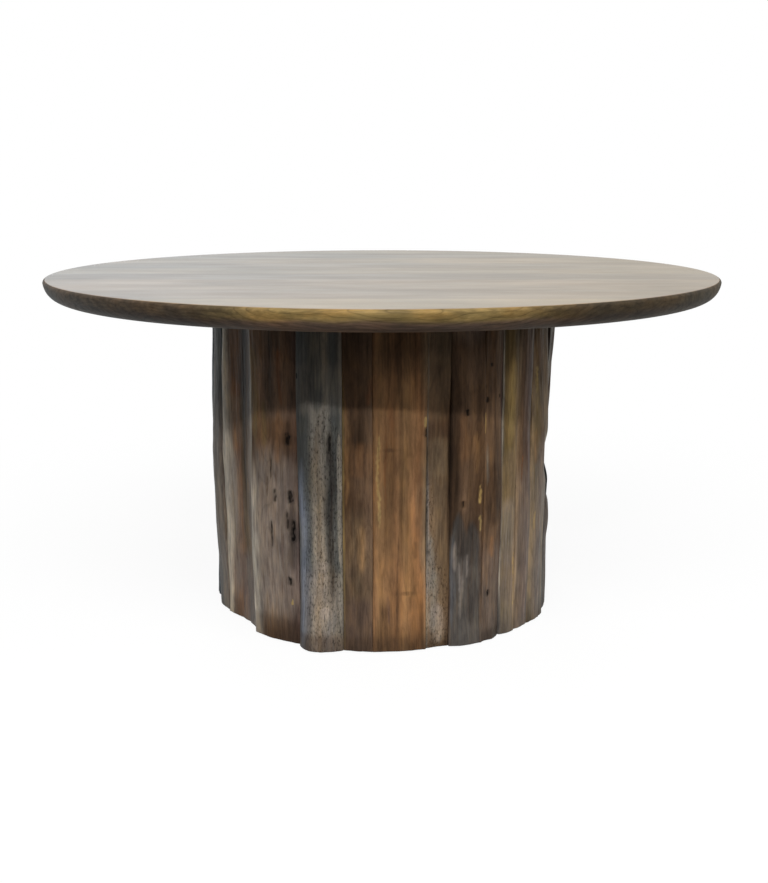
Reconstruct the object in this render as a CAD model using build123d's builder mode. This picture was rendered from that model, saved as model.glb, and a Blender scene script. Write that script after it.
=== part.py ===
from build123d import *

import os
from collections import namedtuple
from math import cos, degrees, pi, radians, sin, sqrt

# A round dining table: a plank top with an undercut rim on a hollow drum of live-edge staves.
# Millimetres, +Z up. The origin is on the floor under the middle of the drum, the front faces
# -Y, and the planks of the top run along X. An azimuth is in degrees from the front (-Y),
# growing towards +X.

# ----------------------------------------------------------------------------- the top
TOP_DIAMETER = 1500
TABLE_HEIGHT = 762
TOP_THICKNESS = 44
TOP_ARRIS = 2                   # the crisp upper edge is only eased
RIM_UNDERCUT = 34               # how far the rim curves in on its way down to the underside
RIM_BULGE = 9                   # how far that curve stands out from its chord
GLUE_LINES = [-575, -402, -183, -35, 115, 270, 440, 600]   # where plank meets plank, along Y

TONGUE_THICKNESS = 10           # loose tongue in each glue line
TONGUE_WIDTH = 24
TONGUE_END_CLEARANCE = 1.0      # room for glue at the bottom of each groove
TONGUE_SETBACK = 70             # the grooves stop this far short of the rim

# Steel channels let into the underside, which keep the planks flat
CHANNEL_SHARE = 0.127           # how far they lie on the way from the drum to the rim
CHANNEL_WIDTH = 38
CHANNEL_DEPTH = 14
CHANNEL_WALL = 3
CHANNEL_SETBACK = 45
CHANNEL_CLEARANCE = 0.2
CHANNEL_SLOT_LENGTH = 14
CHANNEL_SCREW_DIAMETER = 5
CHANNEL_SCREW_LENGTH = 24
CHANNEL_SCREW_HEAD_DIAMETER = 12
CHANNEL_SCREW_HEAD_HEIGHT = 3

# ----------------------------------------------------------------------------- the drum
DRUM_RADIUS = 395               # mean radius of the stave faces
STAVE_THICKNESS = 55
FLOOR_GAP = 3                   # the shadow gap under the staves
WANE_WIDTH = 6                  # eased arris on both long edges of a stave
WANE_DROP = 3.5
SECTION_COUNT = 6               # cross-sections that each stave is lofted through

# The staves, clockwise from the left of the front. Width is in degrees. Left, crown and right
# say how far that part of the face stands out from the mean radius, and crown_at how far
# across the stave the crown lies. The face sways in and out by sway over a length of wave,
# and stands out furthest at the height proud_at.
Stave = namedtuple("Stave", "width left crown right crown_at sway proud_at wave")
FIRST_SEAM = -68.0
STAVES = [
    Stave(23.0, -11, -25, -8, 0.55, 3.0, 420, 700),
    Stave(19.2, 2, 6, 5, 0.50, 3.0, 250, 560),
    Stave(14.2, 6, 31, 7, 0.40, 4.0, 520, 640),
    Stave(8.9, 7, 8, 9, 0.50, 2.0, 330, 480),
    Stave(16.2, 6, 3, -1, 0.45, 3.0, 600, 620),
    Stave(7.5, -1, -4, -2, 0.60, 2.0, 180, 500),
    Stave(10.6, 0, 9, 11, 0.45, 2.5, 470, 560),
    Stave(8.4, 12, 10, -2, 0.45, 2.5, 300, 520),
    Stave(6.6, -3, 1, 1, 0.55, 2.0, 560, 600),
    Stave(7.9, 1, 3, 1, 0.50, 2.0, 220, 480),
    Stave(12.0, 0, 5, 4, 0.45, 3.0, 400, 560),
    Stave(16.5, -2, -5, -9, 0.30, 4.5, 0, 760),
    Stave(14.0, -10, -9, -6, 0.55, 4.0, 600, 520),
    Stave(19.0, 4, -9, -2, 0.45, 4.0, 300, 620),
    Stave(12.5, -1, 12, 3, 0.60, 3.5, 150, 480),
    Stave(17.0, 2, 4, -7, 0.40, 5.0, 430, 560),
    Stave(15.0, -5, -14, 2, 0.50, 3.0, 250, 640),
    Stave(20.0, 3, 10, 5, 0.45, 4.5, 600, 600),
    Stave(11.5, 4, -4, -2, 0.50, 3.0, 330, 460),
    Stave(18.0, -3, 14, 1, 0.55, 4.0, 200, 540),
    Stave(14.5, 0, -6, 3, 0.40, 5.0, 500, 500),
    Stave(21.0, 4, 7, -5, 0.50, 3.5, 380, 680),
    Stave(13.5, -2, 11, 4, 0.45, 4.0, 140, 520),
    Stave(16.5, 3, -3, -9, 0.60, 3.0, 450, 560),
    Stave(16.5, -9, -5, -14, 0.50, 4.5, 325, 640),
]

# ----------------------------------------------------------------------------- the inner frame
RING_WIDTH = 70
RING_THICKNESS = 36
BOTTOM_RING_HEIGHT = 12         # underside of the bottom ring above the floor
MIDDLE_RING_HEIGHT = 350
POST_SIZE = 45
# Posts, levellers and bolts stand behind seams, clear of the screws in the middle of each
# stave: each moves from its azimuth here to the seam that is nearest
POST_AZIMUTHS = [0, 84, 180, 276]
LEVELLER_NAMES = ["front_right", "back_right", "back_left", "front_left"]
LEVELLER_AZIMUTHS = [45, 130, 225, 315]
TOP_BOLT_AZIMUTHS = [14, 66, 97, 129, 192, 225, 292, 348]

FIT_CLEARANCE = 0.2             # round a screw or bolt that doesn't move

STAVE_SCREW_DIAMETER = 5
STAVE_SCREW_HEAD_DIAMETER = 10
STAVE_SCREW_HEAD_HEIGHT = 3.5
STAVE_SCREW_BITE = 18           # how far a screw goes past the ring into its stave

POST_SCREW_DIAMETER = 6
POST_SCREW_HEAD_DIAMETER = 12
POST_SCREW_HEAD_HEIGHT = 4
POST_SCREW_BITE = 50
POST_CROSS_SCREW_BITE = 14

TOP_BOLT_DIAMETER = 8
TOP_BOLT_HEAD_ACROSS_FLATS = 13
TOP_BOLT_HEAD_HEIGHT = 5.5
TOP_BOLT_FLANGE_WIDTH = 18
TOP_BOLT_FLANGE_HEIGHT = 1.5
TOP_BOLT_SLOT_LENGTH = 15       # lets the planks move across the grain
TOP_BOLT_TIP_CLEARANCE = 2
INSERT_WIDTH = 12
INSERT_LENGTH = 16

# ----------------------------------------------------------------------------- the levellers
GLIDE_DIAMETER = 40
GLIDE_HEIGHT = 8
GLIDE_EDGE = 1.5
STEM_DIAMETER = 9.4
STEM_RISE = 46                  # above the glide
STEM_SOCKET_DEPTH = 5           # how far the glide is moulded round the stem
HEX_ACROSS_FLATS = 16
THREAD_CLEARANCE = 0.3
NUT_FLANGE_WIDTH = 24
NUT_FLANGE_THICKNESS = 2
NUT_BARREL_WIDTH = 13
NUT_BARREL_LENGTH = 14

# ----------------------------------------------------------------------------- what follows
top_radius = TOP_DIAMETER / 2
underside = TABLE_HEIGHT - TOP_THICKNESS
glue_lines = [y for y in GLUE_LINES if abs(y) < top_radius - TONGUE_SETBACK]
plank_edges = [-top_radius] + glue_lines + [top_radius]
plank_middles = [(near + far) / 2 for near, far in zip(plank_edges, plank_edges[1:])]
channel_place = DRUM_RADIUS + CHANNEL_SHARE * (top_radius - DRUM_RADIUS)
channel_places = [-channel_place, channel_place]
channel_reach = top_radius - RIM_UNDERCUT - CHANNEL_SETBACK

corner_radius = DRUM_RADIUS - STAVE_THICKNESS
inner_corner_radius = corner_radius - RING_WIDTH
top_ring_height = underside - RING_THICKNESS
bottom_ring_top = BOTTOM_RING_HEIGHT + RING_THICKNESS
ring_middle_radius = corner_radius - RING_WIDTH / 2
post_radius = inner_corner_radius + POST_SIZE / 2
post_length = top_ring_height - bottom_ring_top

seams = [FIRST_SEAM]
for stave in STAVES[:-1]:
    seams.append(seams[-1] + stave.width)
stave_ends = seams[1:] + [FIRST_SEAM + 360]


def at(azimuth, radius):
    """The point in plan at an azimuth and a radius."""
    return (radius * sin(radians(azimuth)), -radius * cos(radians(azimuth)))


def radial_plane(azimuth, radius, height):
    """A vertical plane that faces straight out from the middle of the drum."""
    out = at(azimuth, 1)
    return Plane(origin=(*at(azimuth, radius), height), x_dir=(-out[1], out[0], 0), z_dir=(*out, 0))


def circles(planes, diameter):
    """A circle of one diameter on each of several planes."""
    with BuildSketch(*planes) as discs:
        Circle(diameter / 2)
    return discs.sketch


def hexagons(planes, across_flats):
    """A hexagon on each of several planes, its flats facing along X of the plane.

    Small fasteners and their holes are six-sided, and the flats run along the slots.
    """
    with BuildSketch(*planes) as nuts:
        RegularPolygon(across_flats / 2, 6, major_radius=False, rotation=30)
    return nuts.sketch


def flat_planes(places, height):
    """A level plane at each place."""
    return [Plane((x, y, height)) for x, y in places]


def nearest_seam(azimuth):
    """The seam between two staves that lies nearest to an azimuth."""
    return min(seams, key=lambda seam: abs((seam - azimuth + 180) % 360 - 180))


def at_seams(azimuths, radius):
    """Places in plan behind the seams that lie nearest to some azimuths."""
    return [at(nearest_seam(azimuth), radius) for azimuth in azimuths]


post_seams = [nearest_seam(azimuth) for azimuth in POST_AZIMUTHS]
post_places = at_seams(POST_AZIMUTHS, post_radius)
leveller_places = at_seams(LEVELLER_AZIMUTHS, ring_middle_radius)
bolt_places = at_seams(TOP_BOLT_AZIMUTHS, ring_middle_radius)

os.makedirs("parts", exist_ok=True)


def finish(part, name):
    """Label a finished piece and write it to its own file."""
    part.label = name
    export_step(part, f"parts/{name}.step")


# ============================================================================= the top
# The whole disc first: flat above, an eased edge, then an arc that runs under
eased_edge = (top_radius, TABLE_HEIGHT - TOP_ARRIS)
rim_foot = (top_radius - RIM_UNDERCUT, underside)
with BuildPart() as disc:
    with BuildSketch(Plane.XZ):
        with BuildLine():
            Polyline((0, TABLE_HEIGHT), (top_radius - TOP_ARRIS, TABLE_HEIGHT), eased_edge)
            SagittaArc(eased_edge, rim_foot, RIM_BULGE)
            Polyline(rim_foot, (0, underside), (0, TABLE_HEIGHT))
        make_face()
    revolve(axis=Axis.Z)


def tongue_length(glue_line):
    """A tongue runs along its glue line and stops short of the rim at both ends."""
    return 2 * sqrt((top_radius - TONGUE_SETBACK) ** 2 - glue_line**2)


def channel_length(place):
    """A channel stops short of the rim curve at both ends."""
    return 2 * sqrt(channel_reach**2 - place**2)


def channel_screw_places(place):
    """One screw in the middle of each plank that the channel crosses."""
    end = channel_length(place) / 2 - CHANNEL_WIDTH
    return [middle for middle in plank_middles if abs(middle) < end]


tongue_height = underside + TOP_THICKNESS / 2
groove_width = TONGUE_WIDTH + 2 * TONGUE_END_CLEARANCE

# The planks: strips of the disc, grooved for the tongues, channels, inserts and screws
for number, (near, far) in enumerate(zip(plank_edges, plank_edges[1:]), start=1):
    with BuildPart() as plank:
        add(disc.part)
        with BuildSketch(Plane.XY.offset(underside)):
            with Locations((0, (near + far) / 2)):
                Rectangle(TOP_DIAMETER, far - near)
        extrude(amount=TOP_THICKNESS, mode=Mode.INTERSECT)
        for glue_line in (near, far):
            if glue_line in glue_lines:
                with Locations((0, glue_line, tongue_height)):
                    Box(tongue_length(glue_line), groove_width, TONGUE_THICKNESS, mode=Mode.SUBTRACT)
        for place in channel_places:
            length = channel_length(place) + 2 * CHANNEL_CLEARANCE
            width = CHANNEL_WIDTH + 2 * CHANNEL_CLEARANCE
            leg_inset = (CHANNEL_WIDTH - CHANNEL_WALL) / 2
            low = (Align.CENTER, Align.CENTER, Align.MIN)
            with Locations((place, 0, underside)):
                Box(width, length, CHANNEL_WALL, align=low, mode=Mode.SUBTRACT)
            with Locations((place - leg_inset, 0, underside), (place + leg_inset, 0, underside)):
                Box(
                    CHANNEL_WALL + 2 * CHANNEL_CLEARANCE,
                    length,
                    CHANNEL_DEPTH,
                    align=low,
                    mode=Mode.SUBTRACT,
                )
            screws = [(place, middle) for middle in channel_screw_places(place) if near < middle < far]
            if screws:
                hole = hexagons(flat_planes(screws, underside), CHANNEL_SCREW_DIAMETER + 2 * FIT_CLEARANCE)
                extrude(hole, amount=CHANNEL_SCREW_LENGTH, mode=Mode.SUBTRACT)
        insert_holes = hexagons(flat_planes(bolt_places, underside), INSERT_WIDTH + 2 * FIT_CLEARANCE)
        extrude(insert_holes, amount=INSERT_LENGTH, mode=Mode.SUBTRACT)
    finish(plank.part, f"top_plank_{number}")

# Loose tongues in the glue lines
with BuildPart() as tongues:
    for glue_line in glue_lines:
        with Locations((0, glue_line, tongue_height)):
            Box(tongue_length(glue_line), TONGUE_WIDTH, TONGUE_THICKNESS)
finish(tongues.part, "top_tongues")

# Channels: the web lies flush with the underside and both legs stand up in the planks
for place, side in zip(channel_places, ("left", "right")):
    length = channel_length(place)
    with BuildPart() as channel:
        with BuildSketch(Plane.XZ.offset(-length / 2)):
            with Locations((place, underside)):
                Rectangle(CHANNEL_WIDTH, CHANNEL_DEPTH - CHANNEL_CLEARANCE, align=(Align.CENTER, Align.MIN))
            with Locations((place, underside + CHANNEL_WALL)):
                Rectangle(
                    CHANNEL_WIDTH - 2 * CHANNEL_WALL,
                    CHANNEL_DEPTH,
                    align=(Align.CENTER, Align.MIN),
                    mode=Mode.SUBTRACT,
                )
        extrude(amount=length)
        with BuildSketch(Plane.XY.offset(underside)):
            for middle in channel_screw_places(place):
                with Locations((place, middle)):
                    Rectangle(CHANNEL_SCREW_DIAMETER + 2 * FIT_CLEARANCE, CHANNEL_SLOT_LENGTH)
        extrude(amount=CHANNEL_WALL, mode=Mode.SUBTRACT)
    finish(channel.part, f"stiffening_channel_{side}")

# Pan-head screws that hold the channels
screw_places = [(x, y) for x in channel_places for y in channel_screw_places(x)]
screw_seats = flat_planes(screw_places, underside)
with BuildPart() as channel_screws:
    extrude(hexagons(screw_seats, CHANNEL_SCREW_HEAD_DIAMETER), amount=-CHANNEL_SCREW_HEAD_HEIGHT)
    extrude(hexagons(screw_seats, CHANNEL_SCREW_DIAMETER), amount=CHANNEL_SCREW_LENGTH)
finish(channel_screws.part, "channel_screws")


# ============================================================================= the staves
def stave_outline(stave, start, end, height):
    """One cross-section: a flat back, two mitred sides, two wanes and a bowed face."""
    out = DRUM_RADIUS + stave.sway * cos(2 * pi * (height - stave.proud_at) / stave.wave)
    wane = degrees(WANE_WIDTH / DRUM_RADIUS)
    crown = start + stave.crown_at * (end - start)
    left_seam = at(start, out + stave.left - WANE_DROP)
    left = at(start + wane, out + stave.left)
    right = at(end - wane, out + stave.right)
    right_seam = at(end, out + stave.right - WANE_DROP)
    Polyline(left, left_seam, at(start, corner_radius), at(end, corner_radius), right_seam, right)
    Spline(right, at(crown, out + stave.crown), left)


section_step = (underside - FLOOR_GAP) / (SECTION_COUNT - 1)
section_heights = [FLOOR_GAP + step * section_step for step in range(SECTION_COUNT)]

# Every stave has a screw through the bottom ring and one through the top ring. The head
# seats on the flat inner face that the ring has behind that stave.
screw_heights = [BOTTOM_RING_HEIGHT + RING_THICKNESS / 2, top_ring_height + RING_THICKNESS / 2]
stave_screw_length = RING_WIDTH + STAVE_SCREW_BITE
stave_screw_hole = STAVE_SCREW_DIAMETER + 2 * FIT_CLEARANCE


def screw_seat(start, end, height):
    """Where a stave's screw seats on the inner face of a ring."""
    apothem = inner_corner_radius * cos(radians(end - start) / 2)
    return radial_plane((start + end) / 2, apothem, height)


# A stave for each row of the list, from the left of the front round to the left again
for number, (stave, start, end) in enumerate(zip(STAVES, seams, stave_ends), start=1):
    seats = [screw_seat(start, end, height) for height in screw_heights]
    with BuildPart() as stave_part:
        for height in section_heights:
            with BuildSketch(Plane.XY.offset(height)):
                with BuildLine():
                    stave_outline(stave, start, end, height)
                make_face()
        loft(ruled=True)
        extrude(hexagons(seats, stave_screw_hole), amount=stave_screw_length, mode=Mode.SUBTRACT)
    finish(stave_part.part, f"stave_{number:02d}")

# ============================================================================= the rings
outer_corners = [at(seam, corner_radius) for seam in seams]
inner_corners = [at(seam, inner_corner_radius) for seam in seams]


def ring_outline(height):
    """A ring with a flat face, inside and out, behind every stave."""
    with BuildSketch(Plane.XY.offset(height)) as outline:
        with BuildLine():
            Polyline(*outer_corners, close=True)
        make_face()
        with BuildLine():
            Polyline(*inner_corners, close=True)
        make_face(mode=Mode.SUBTRACT)
    return outline.sketch


def stave_screw_seats(height):
    """Where every stave's screw seats on the inside of a ring."""
    return [screw_seat(start, end, height) for start, end in zip(seams, stave_ends)]


post_hole = POST_SCREW_DIAMETER + 2 * FIT_CLEARANCE
post_head_hole = POST_SCREW_HEAD_DIAMETER + 2 * FIT_CLEARANCE

# The top ring has slots for the bolts, so that the planks can move
with BuildPart() as top_ring:
    extrude(ring_outline(top_ring_height), amount=RING_THICKNESS)
    high_holes = hexagons(stave_screw_seats(screw_heights[1]), stave_screw_hole)
    extrude(high_holes, amount=stave_screw_length, mode=Mode.SUBTRACT)
    tops = flat_planes(post_places, underside)
    extrude(hexagons(tops, post_hole), amount=-RING_THICKNESS, mode=Mode.SUBTRACT)
    extrude(hexagons(tops, post_head_hole), amount=-POST_SCREW_HEAD_HEIGHT, mode=Mode.SUBTRACT)
    with BuildSketch(Plane.XY.offset(top_ring_height)):
        with Locations(*bolt_places):
            Rectangle(TOP_BOLT_DIAMETER + 2 * FIT_CLEARANCE, TOP_BOLT_SLOT_LENGTH)
    extrude(amount=RING_THICKNESS, mode=Mode.SUBTRACT)
finish(top_ring.part, "top_ring")

# The middle ring is notched round the posts, and a screw crosses each post into it
middle_screw_height = MIDDLE_RING_HEIGHT + RING_THICKNESS / 2
cross_screw_seats = [radial_plane(seam, inner_corner_radius, middle_screw_height) for seam in post_seams]
cross_screw_length = POST_SIZE + POST_CROSS_SCREW_BITE
with BuildPart() as middle_ring:
    extrude(ring_outline(MIDDLE_RING_HEIGHT), amount=RING_THICKNESS)
    for seam in post_seams:
        with BuildSketch(radial_plane(seam, inner_corner_radius / 2, middle_screw_height)):
            Rectangle(POST_SIZE, RING_THICKNESS)
        extrude(amount=inner_corner_radius / 2 + POST_SIZE, mode=Mode.SUBTRACT)
    extrude(hexagons(cross_screw_seats, post_hole), amount=cross_screw_length, mode=Mode.SUBTRACT)
finish(middle_ring.part, "middle_ring")

# The bottom ring holds the flanged nuts of the levellers, flush with its underside
with BuildPart() as bottom_ring:
    extrude(ring_outline(BOTTOM_RING_HEIGHT), amount=RING_THICKNESS)
    low_holes = hexagons(stave_screw_seats(screw_heights[0]), stave_screw_hole)
    extrude(low_holes, amount=stave_screw_length, mode=Mode.SUBTRACT)
    bottoms = flat_planes(post_places, BOTTOM_RING_HEIGHT)
    extrude(hexagons(bottoms, post_hole), amount=RING_THICKNESS, mode=Mode.SUBTRACT)
    extrude(hexagons(bottoms, post_head_hole), amount=POST_SCREW_HEAD_HEIGHT, mode=Mode.SUBTRACT)
    nut_seats = flat_planes(leveller_places, BOTTOM_RING_HEIGHT)
    barrel_holes = hexagons(nut_seats, NUT_BARREL_WIDTH + 2 * FIT_CLEARANCE)
    flange_holes = hexagons(nut_seats, NUT_FLANGE_WIDTH + 2 * FIT_CLEARANCE)
    extrude(barrel_holes, amount=RING_THICKNESS, mode=Mode.SUBTRACT)
    extrude(flange_holes, amount=NUT_FLANGE_THICKNESS, mode=Mode.SUBTRACT)
finish(bottom_ring.part, "bottom_ring")

# ============================================================================= posts and fasteners
for number, (seam, place) in enumerate(zip(post_seams, post_places), start=1):
    foot = flat_planes([place], bottom_ring_top)
    head = flat_planes([place], top_ring_height)
    inner_face = [radial_plane(seam, inner_corner_radius, middle_screw_height)]
    with BuildPart() as post:
        with BuildSketch(*foot):
            Rectangle(POST_SIZE, POST_SIZE, rotation=seam)
        extrude(amount=post_length)
        extrude(hexagons(foot, post_hole), amount=POST_SCREW_BITE, mode=Mode.SUBTRACT)
        extrude(hexagons(head, post_hole), amount=-POST_SCREW_BITE, mode=Mode.SUBTRACT)
        extrude(hexagons(inner_face, post_hole), amount=POST_SIZE, mode=Mode.SUBTRACT)
    finish(post.part, f"frame_post_{number}")

# Screws along and across the posts. Those along a post start at the outer face of a ring.
along_length = RING_THICKNESS - POST_SCREW_HEAD_HEIGHT + POST_SCREW_BITE
low_seats = flat_planes(post_places, BOTTOM_RING_HEIGHT + POST_SCREW_HEAD_HEIGHT)
high_seats = [
    Plane((x, y, underside - POST_SCREW_HEAD_HEIGHT), z_dir=(0, 0, -1)) for x, y in post_places
]
with BuildPart() as post_screws:
    for seats, length in ((low_seats + high_seats, along_length), (cross_screw_seats, cross_screw_length)):
        extrude(hexagons(seats, POST_SCREW_HEAD_DIAMETER), amount=-POST_SCREW_HEAD_HEIGHT)
        extrude(hexagons(seats, POST_SCREW_DIAMETER), amount=length)
finish(post_screws.part, "post_screws")

# Screws out through the top and bottom rings, one of each for every stave
all_seats = stave_screw_seats(screw_heights[0]) + stave_screw_seats(screw_heights[1])
with BuildPart() as stave_screws:
    extrude(hexagons(all_seats, STAVE_SCREW_HEAD_DIAMETER), amount=-STAVE_SCREW_HEAD_HEIGHT)
    extrude(hexagons(all_seats, STAVE_SCREW_DIAMETER), amount=stave_screw_length)
finish(stave_screws.part, "stave_screws")

# Flanged bolts up through the top ring, and the threaded inserts that they turn into
bolt_seats = flat_planes(bolt_places, top_ring_height)
bolt_length = RING_THICKNESS + INSERT_LENGTH - TOP_BOLT_TIP_CLEARANCE
with BuildPart() as top_bolts:
    extrude(hexagons(bolt_seats, TOP_BOLT_DIAMETER), amount=bolt_length)
    extrude(hexagons(bolt_seats, TOP_BOLT_FLANGE_WIDTH), amount=-TOP_BOLT_FLANGE_HEIGHT)
    heads = hexagons(bolt_seats, TOP_BOLT_HEAD_ACROSS_FLATS)
    extrude(heads, amount=-TOP_BOLT_FLANGE_HEIGHT - TOP_BOLT_HEAD_HEIGHT)
finish(top_bolts.part, "top_bolts")

insert_seats = flat_planes(bolt_places, underside)
insert_bore = TOP_BOLT_DIAMETER + 2 * FIT_CLEARANCE
with BuildPart() as top_inserts:
    extrude(hexagons(insert_seats, INSERT_WIDTH), amount=INSERT_LENGTH)
    extrude(hexagons(insert_seats, insert_bore), amount=INSERT_LENGTH, mode=Mode.SUBTRACT)
finish(top_inserts.part, "top_inserts")

# ============================================================================= the levellers
# Flanged nuts, pressed in from below so that the load seats them
with BuildPart() as leveller_nuts:
    extrude(hexagons(nut_seats, NUT_FLANGE_WIDTH), amount=NUT_FLANGE_THICKNESS)
    extrude(hexagons(nut_seats, NUT_BARREL_WIDTH), amount=NUT_BARREL_LENGTH)
    stem_bores = circles(nut_seats, STEM_DIAMETER + 2 * THREAD_CLEARANCE)
    extrude(stem_bores, amount=NUT_BARREL_LENGTH, mode=Mode.SUBTRACT)
finish(leveller_nuts.part, "leveller_nuts")

# Each leveller is a threaded stem with a hexagon to turn it by, in a moulded glide
hex_height = BOTTOM_RING_HEIGHT - GLIDE_HEIGHT
socket_floor = GLIDE_HEIGHT - STEM_SOCKET_DEPTH
for name, (x, y) in zip(LEVELLER_NAMES, leveller_places):
    with BuildPart() as glide:
        with BuildSketch(Plane((x, y, 0))):
            Circle(GLIDE_DIAMETER / 2)
        extrude(amount=GLIDE_HEIGHT)
        chamfer(glide.edges().group_by(Axis.Z)[0], length=GLIDE_EDGE)
        with BuildSketch(Plane((x, y, socket_floor))):
            Circle(STEM_DIAMETER / 2)
        extrude(amount=STEM_SOCKET_DEPTH, mode=Mode.SUBTRACT)
    finish(glide.part, f"glide_{name}")

    with BuildPart() as stem:
        with BuildSketch(Plane((x, y, socket_floor))):
            Circle(STEM_DIAMETER / 2)
        extrude(amount=STEM_SOCKET_DEPTH + STEM_RISE)
        with BuildSketch(Plane((x, y, GLIDE_HEIGHT))):
            RegularPolygon(HEX_ACROSS_FLATS / 2, 6, major_radius=False)
        extrude(amount=hex_height)
    finish(stem.part, f"stem_{name}")
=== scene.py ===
# %% [markdown]
# A round dining table: a plank top with an undercut rim, on a hollow drum of upright live-edge
# staves in mixed tones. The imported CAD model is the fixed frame. It gives every piece its
# place, and the cells below give the pieces their fine shape and their finish.

# %% Load the frame
from collections import namedtuple
from math import cos, hypot, pi, radians, sin, sqrt

import bmesh
import bpy
import numpy as np
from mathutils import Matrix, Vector


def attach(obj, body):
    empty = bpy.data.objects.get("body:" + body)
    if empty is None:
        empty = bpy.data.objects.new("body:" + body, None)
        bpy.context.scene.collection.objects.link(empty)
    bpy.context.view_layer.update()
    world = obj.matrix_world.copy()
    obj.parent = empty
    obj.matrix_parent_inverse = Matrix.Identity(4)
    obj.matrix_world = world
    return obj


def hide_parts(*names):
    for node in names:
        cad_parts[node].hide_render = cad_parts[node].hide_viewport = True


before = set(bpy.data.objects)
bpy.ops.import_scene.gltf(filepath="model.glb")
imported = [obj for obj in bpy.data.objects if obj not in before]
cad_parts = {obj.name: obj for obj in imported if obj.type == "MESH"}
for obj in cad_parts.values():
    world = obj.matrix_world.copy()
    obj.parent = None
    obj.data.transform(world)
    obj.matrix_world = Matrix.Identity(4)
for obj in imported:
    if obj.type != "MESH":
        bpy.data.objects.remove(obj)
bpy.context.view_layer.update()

# %% [markdown]
# The camera stands at eye height in front of the table and looks slightly down. A lens of
# about 52 mm keeps the round top from looking stretched. The camera could aim itself with a
# constraint, but a fixed place and angle are easier to read and to repeat. The focal length and
# the picture's long side are both in pixels, and the sensor's width is in millimetres.

# %% Camera
SENSOR_WIDTH = 36
FOCAL_PIXELS, LONG_SIDE_PIXELS = 1274.36, 883
EYE = (0.0044, -2.9206, 1.0078)
DOWNWARD = 12.376

camera_data = bpy.data.cameras.new("camera")
camera_data.sensor_width = SENSOR_WIDTH
camera_data.lens = SENSOR_WIDTH * FOCAL_PIXELS / LONG_SIDE_PIXELS
camera = bpy.data.objects.new("camera", camera_data)
camera.location = EYE
camera.rotation_euler = (radians(90 - DOWNWARD), 0, 0)
bpy.context.scene.collection.objects.link(camera)
bpy.context.scene.camera = camera
print("lens", round(camera_data.lens, 2), "mm")

# %% [markdown]
# Materials are small networks of nodes. One helper adds a node and fills its sockets, with
# plain values or with links, so that each network below reads as a list of steps.

# %% Helpers for materials


def srgb(red, green, blue):
    """A colour given as on a screen, 0 to 255, as the linear values that nodes want."""
    shares = [level / 255 for level in (red, green, blue)]
    linear = [c / 12.92 if c <= 10 / 255 else ((c + 0.055) / 1.055) ** 2.4 for c in shares]
    return (*linear, 1.0)


def node(tree, kind, sockets=None, **settings):
    """Add a node. Sockets are filled by name or number, from a value or another node's socket."""
    made = tree.nodes.new("ShaderNode" + kind)
    for key, value in settings.items():
        setattr(made, key, value)
    for key, value in (sockets or {}).items():
        if isinstance(value, bpy.types.NodeSocket):
            tree.links.new(value, made.inputs[key])
        else:
            made.inputs[key].default_value = value
    return made


def calculate(tree, operation, first, second=0.0, clamp=False):
    """The result of a Math node on two numbers or sockets."""
    return node(tree, "Math", {0: first, 1: second}, operation=operation, use_clamp=clamp).outputs[0]


def blend(tree, amount, first, second, how="MIX"):
    """One colour laid over another."""
    mix = node(tree, "Mix", {0: amount, 6: first, 7: second}, data_type="RGBA", blend_type=how)
    return mix.outputs[2]


def stretched_noise(tree, place, stretch, scale, detail=3.0, roughness=0.55):
    """Noise whose grains are drawn out along the axes with a small stretch."""
    mapping = node(tree, "Mapping", {"Vector": place, "Scale": stretch})
    noise = node(
        tree,
        "TexNoise",
        {"Vector": mapping.outputs[0], "Scale": scale, "Detail": detail, "Roughness": roughness},
    )
    return noise.outputs["Fac"]


def ramp(tree, amount, stops):
    """A Color Ramp with stops of (place, grey level or colour)."""
    made = node(tree, "ValToRGB", {"Fac": amount})
    elements = made.color_ramp.elements
    while len(elements) < len(stops):
        elements.new(0.5)
    for element, (place, level) in zip(elements, stops):
        element.position = place
        element.color = level if isinstance(level, tuple) else (level, level, level, 1.0)
    return made.outputs["Color"]


def shaded(tree, colour, amount, stops):
    """A colour multiplied by a ramp."""
    return blend(tree, 1.0, colour, ramp(tree, amount, stops), "MULTIPLY")


def new_material(name, **shader_values):
    """A material with one Principled shader, whose uniform values are set on its own sockets."""
    material = bpy.data.materials.new(name)
    material.use_nodes = True
    shader = material.node_tree.nodes["Principled BSDF"]
    for key, value in shader_values.items():
        shader.inputs[key.replace("_", " ")].default_value = value
    return material, material.node_tree, shader


def bump(tree, shader, height, distance, strength=1.0):
    """Small relief from a height socket, with its distance in metres."""
    made = node(tree, "Bump", {"Height": height, "Strength": strength, "Distance": distance})
    tree.links.new(made.outputs[0], shader.inputs["Normal"])


def plain_view(tree):
    """1 for what the camera, a reflection or glass sees directly, and 0 for scattered light."""
    rays = node(tree, "LightPath").outputs
    through = calculate(tree, "ADD", rays["Is Glossy Ray"], rays["Is Transmission Ray"])
    return calculate(tree, "ADD", rays["Is Camera Ray"], through, clamp=True)


print("helpers for materials ready")

# %% [markdown]
# A studio cove: a pale floor that runs up into a wall behind, so that no horizon shows. The
# floor could be a plain plane, but its far edge would draw a line. For the camera it is
# partly a plain white, which keeps it clean, and partly lit, which keeps the table's shadow.

# %% Floor and backdrop
FLAT_SHARE, COVE_SHARE = 0.7, 0.3
FLOOR_NEAR, FLOOR_DEPTH, FLOOR_HALF_WIDTH, COVE_RADIUS = -6, 12, 14, 5

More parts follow.
